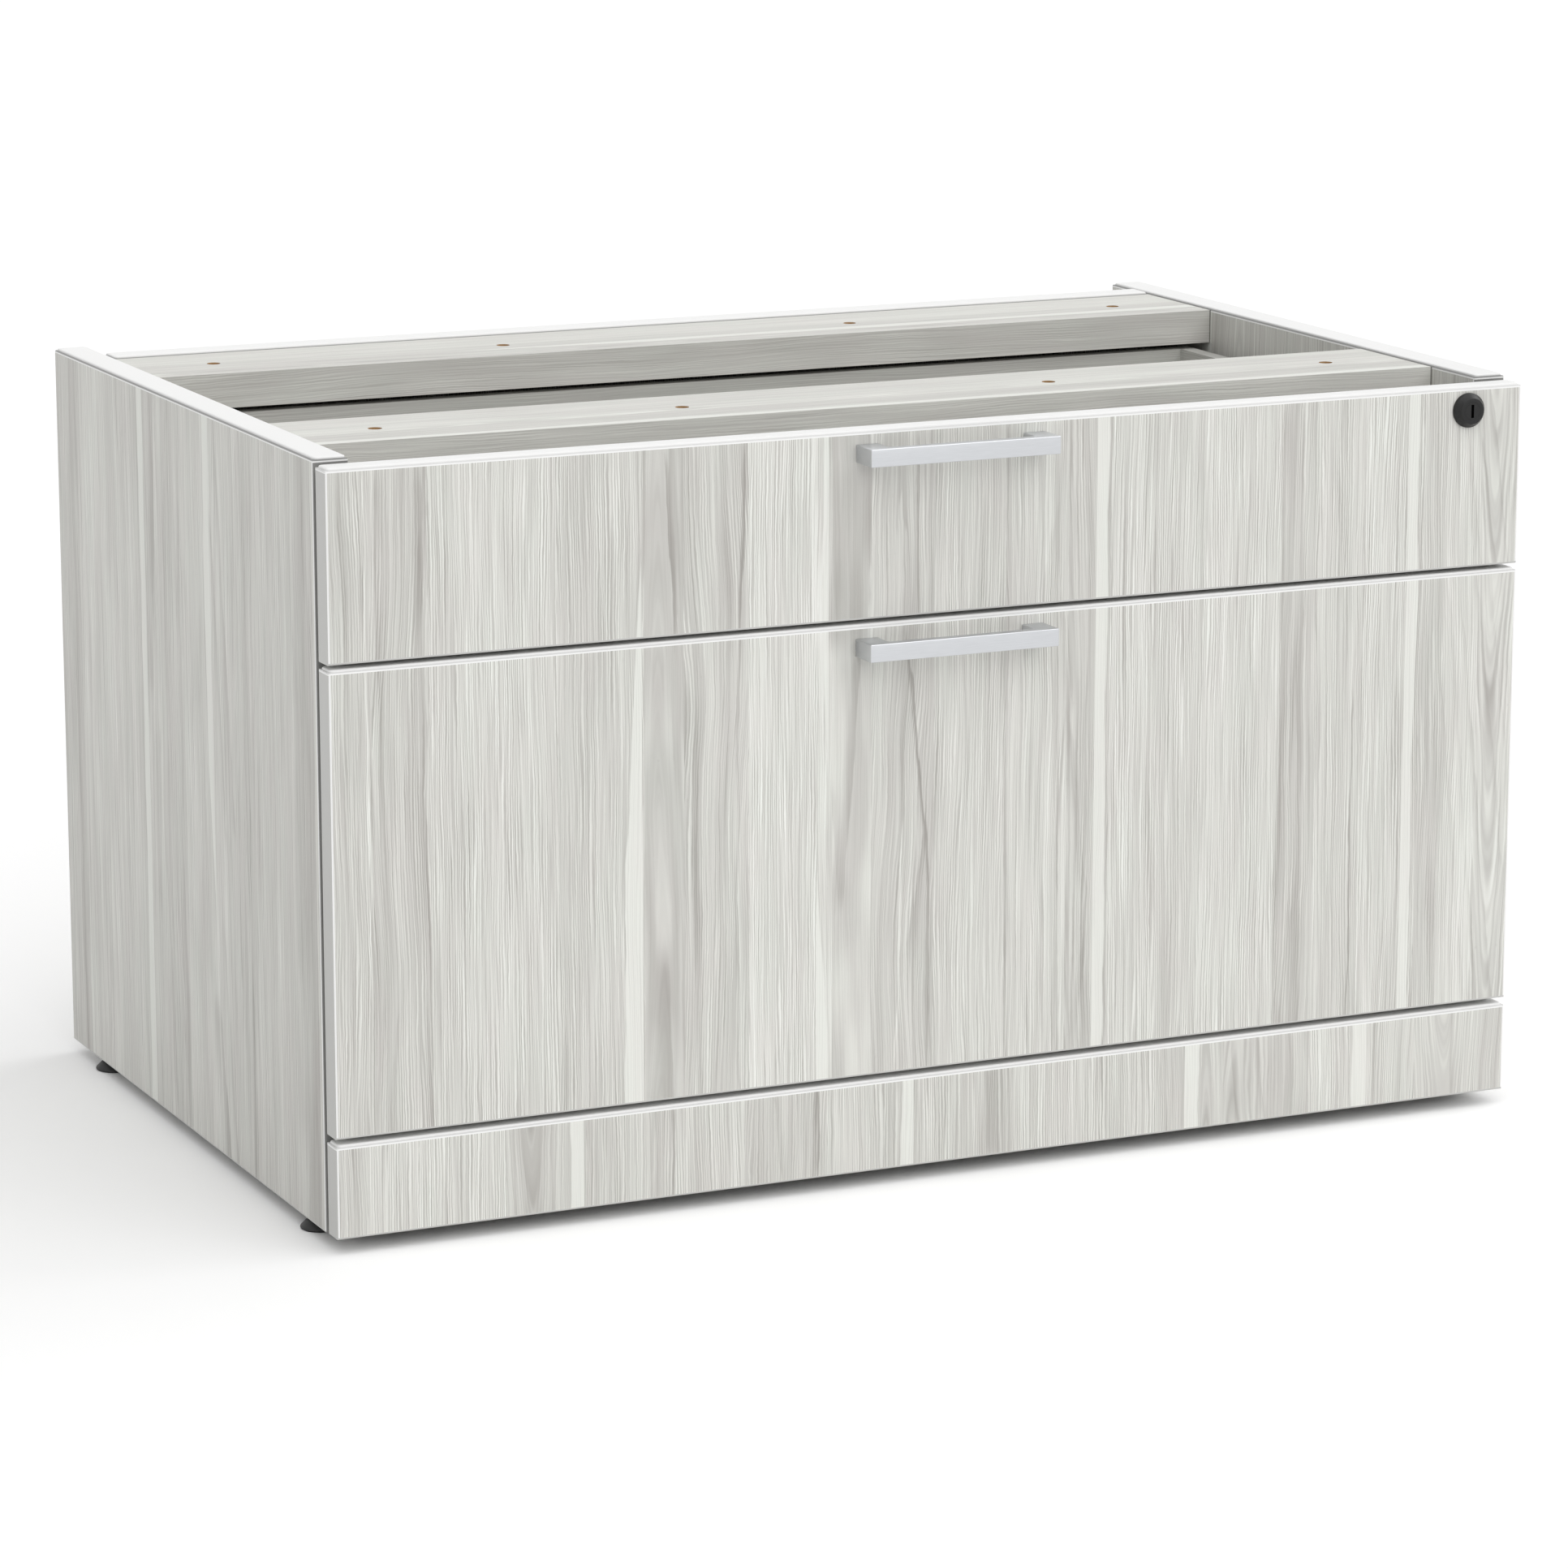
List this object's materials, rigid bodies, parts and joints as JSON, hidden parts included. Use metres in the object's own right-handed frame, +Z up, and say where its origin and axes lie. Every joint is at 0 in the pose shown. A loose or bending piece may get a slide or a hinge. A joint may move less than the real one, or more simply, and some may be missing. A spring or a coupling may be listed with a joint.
{
  "type": "lateral filing cabinet",
  "caption": "Low open-topped lateral filing cabinet in pale grey wood-grain laminate: a shallow drawer over a hanging-file drawer, square pulls, cam lock and levelling feet.",
  "frame": {"origin": "on the floor under the middle of the overall box, pulls and feet included", "axes": "+X to the right as seen from the front, +Y to the rear, +Z up; the drawer fronts face -Y"},
  "size_m": [0.917, 0.6074, 0.542],
  "materials": {
    "laminate": "light grey wood-grain laminate on particle board, matt",
    "edge_band": "plain off-white edge band, satin",
    "drawer_board": "plain light grey melamine board, matt",
    "slide_steel": "zinc-plated rolled sheet",
    "cage_steel": "thin strip with bright balls",
    "pull_silver": "satin silver",
    "lock_black": "satin black",
    "leveller_black": "moulded black"
  },
  "bodies": {
    "carcass": {"left_side_panel": "laminate", "left_side_edge_band": "edge_band", "right_side_panel": "laminate", "right_side_edge_band": "edge_band", "back_panel": "laminate", "back_edge_band": "edge_band", "front_top_rail": "laminate", "rear_top_rail": "laminate", "bottom_panel": "laminate", "base_front_panel": "laminate", "base_front_edge_band": "edge_band", "upper_left_slide_outer": "slide_steel", "upper_right_slide_outer": "slide_steel", "lower_left_slide_outer": "slide_steel", "lower_right_slide_outer": "slide_steel", "lock_keeper": "slide_steel"},
    "upper_drawer": {"upper_front_panel": "laminate", "upper_front_edge_band": "edge_band", "upper_box_left": "drawer_board", "upper_box_right": "drawer_board", "upper_box_front": "drawer_board", "upper_box_back": "drawer_board", "upper_box_floor": "drawer_board", "upper_pull": "pull_silver", "lock_housing": "lock_black", "upper_left_slide_inner": "slide_steel", "upper_right_slide_inner": "slide_steel"},
    "lower_drawer": {"lower_front_panel": "laminate", "lower_front_edge_band": "edge_band", "lower_box_left": "drawer_board", "lower_box_right": "drawer_board", "lower_box_front": "drawer_board", "lower_box_back": "drawer_board", "lower_box_floor": "drawer_board", "lower_pull": "pull_silver", "file_bar_1": "slide_steel", "file_bar_2": "slide_steel", "file_bar_3": "slide_steel", "lower_left_slide_inner": "slide_steel", "lower_right_slide_inner": "slide_steel"},
    "lock": {"lock_plug": "lock_black", "lock_cam": "slide_steel"},
    "upper_slide_middles": {"upper_left_slide_middle": "slide_steel", "upper_right_slide_middle": "slide_steel"},
    "upper_outer_cages": {"upper_left_slide_outer_cage": "cage_steel", "upper_right_slide_outer_cage": "cage_steel"},
    "upper_inner_cages": {"upper_left_slide_inner_cage": "cage_steel", "upper_right_slide_inner_cage": "cage_steel"},
    "lower_slide_middles": {"lower_left_slide_middle": "slide_steel", "lower_right_slide_middle": "slide_steel"},
    "lower_outer_cages": {"lower_left_slide_outer_cage": "cage_steel", "lower_right_slide_outer_cage": "cage_steel"},
    "lower_inner_cages": {"lower_left_slide_inner_cage": "cage_steel", "lower_right_slide_inner_cage": "cage_steel"},
    "leveller_front_left_body": {"leveller_front_left": "leveller_black"},
    "leveller_front_right_body": {"leveller_front_right": "leveller_black"},
    "leveller_rear_left_body": {"leveller_rear_left": "leveller_black"},
    "leveller_rear_right_body": {"leveller_rear_right": "leveller_black"}
  },
  "joints": [
    {"name": "upper_drawer_slide", "type": "slide", "parent": "carcass", "child": "upper_drawer", "axis": [0, -1, 0], "range_m": [0, 0.4064]},
    {"name": "upper_middle_slide", "type": "slide", "parent": "carcass", "child": "upper_slide_middles", "axis": [0, -1, 0], "range_m": [0, 0.2032]},
    {"name": "upper_outer_cage_slide", "type": "slide", "parent": "carcass", "child": "upper_outer_cages", "axis": [0, -1, 0], "range_m": [0, 0.1016]},
    {"name": "upper_inner_cage_slide", "type": "slide", "parent": "carcass", "child": "upper_inner_cages", "axis": [0, -1, 0], "range_m": [0, 0.3048]},
    {"name": "lower_drawer_slide", "type": "slide", "parent": "carcass", "child": "lower_drawer", "axis": [0, -1, 0], "range_m": [0, 0.4064]},
    {"name": "lower_middle_slide", "type": "slide", "parent": "carcass", "child": "lower_slide_middles", "axis": [0, -1, 0], "range_m": [0, 0.2032]},
    {"name": "lower_outer_cage_slide", "type": "slide", "parent": "carcass", "child": "lower_outer_cages", "axis": [0, -1, 0], "range_m": [0, 0.1016]},
    {"name": "lower_inner_cage_slide", "type": "slide", "parent": "carcass", "child": "lower_inner_cages", "axis": [0, -1, 0], "range_m": [0, 0.3048]},
    {"name": "lock_turn", "type": "hinge", "parent": "upper_drawer", "child": "lock", "pos_m": [0.4128, -0.2787, 0.5211], "axis": [0, 1, 0], "range_deg": [0, 90]},
    {"name": "leveller_front_left_screw", "type": "slide", "parent": "carcass", "child": "leveller_front_left_body", "axis": [0, 0, -1], "range_m": [0, 0.02]},
    {"name": "leveller_front_right_screw", "type": "slide", "parent": "carcass", "child": "leveller_front_right_body", "axis": [0, 0, -1], "range_m": [0, 0.02]},
    {"name": "leveller_rear_left_screw", "type": "slide", "parent": "carcass", "child": "leveller_rear_left_body", "axis": [0, 0, -1], "range_m": [0, 0.02]},
    {"name": "leveller_rear_right_screw", "type": "slide", "parent": "carcass", "child": "leveller_rear_right_body", "axis": [0, 0, -1], "range_m": [0, 0.02]}
  ],
  "couplings": [
    {"joint": "upper_middle_slide", "follows": "upper_drawer_slide", "ratio": 0.5},
    {"joint": "upper_outer_cage_slide", "follows": "upper_drawer_slide", "ratio": 0.25},
    {"joint": "upper_inner_cage_slide", "follows": "upper_drawer_slide", "ratio": 0.75},
    {"joint": "lower_middle_slide", "follows": "lower_drawer_slide", "ratio": 0.5},
    {"joint": "lower_outer_cage_slide", "follows": "lower_drawer_slide", "ratio": 0.25},
    {"joint": "lower_inner_cage_slide", "follows": "lower_drawer_slide", "ratio": 0.75}
  ]
}
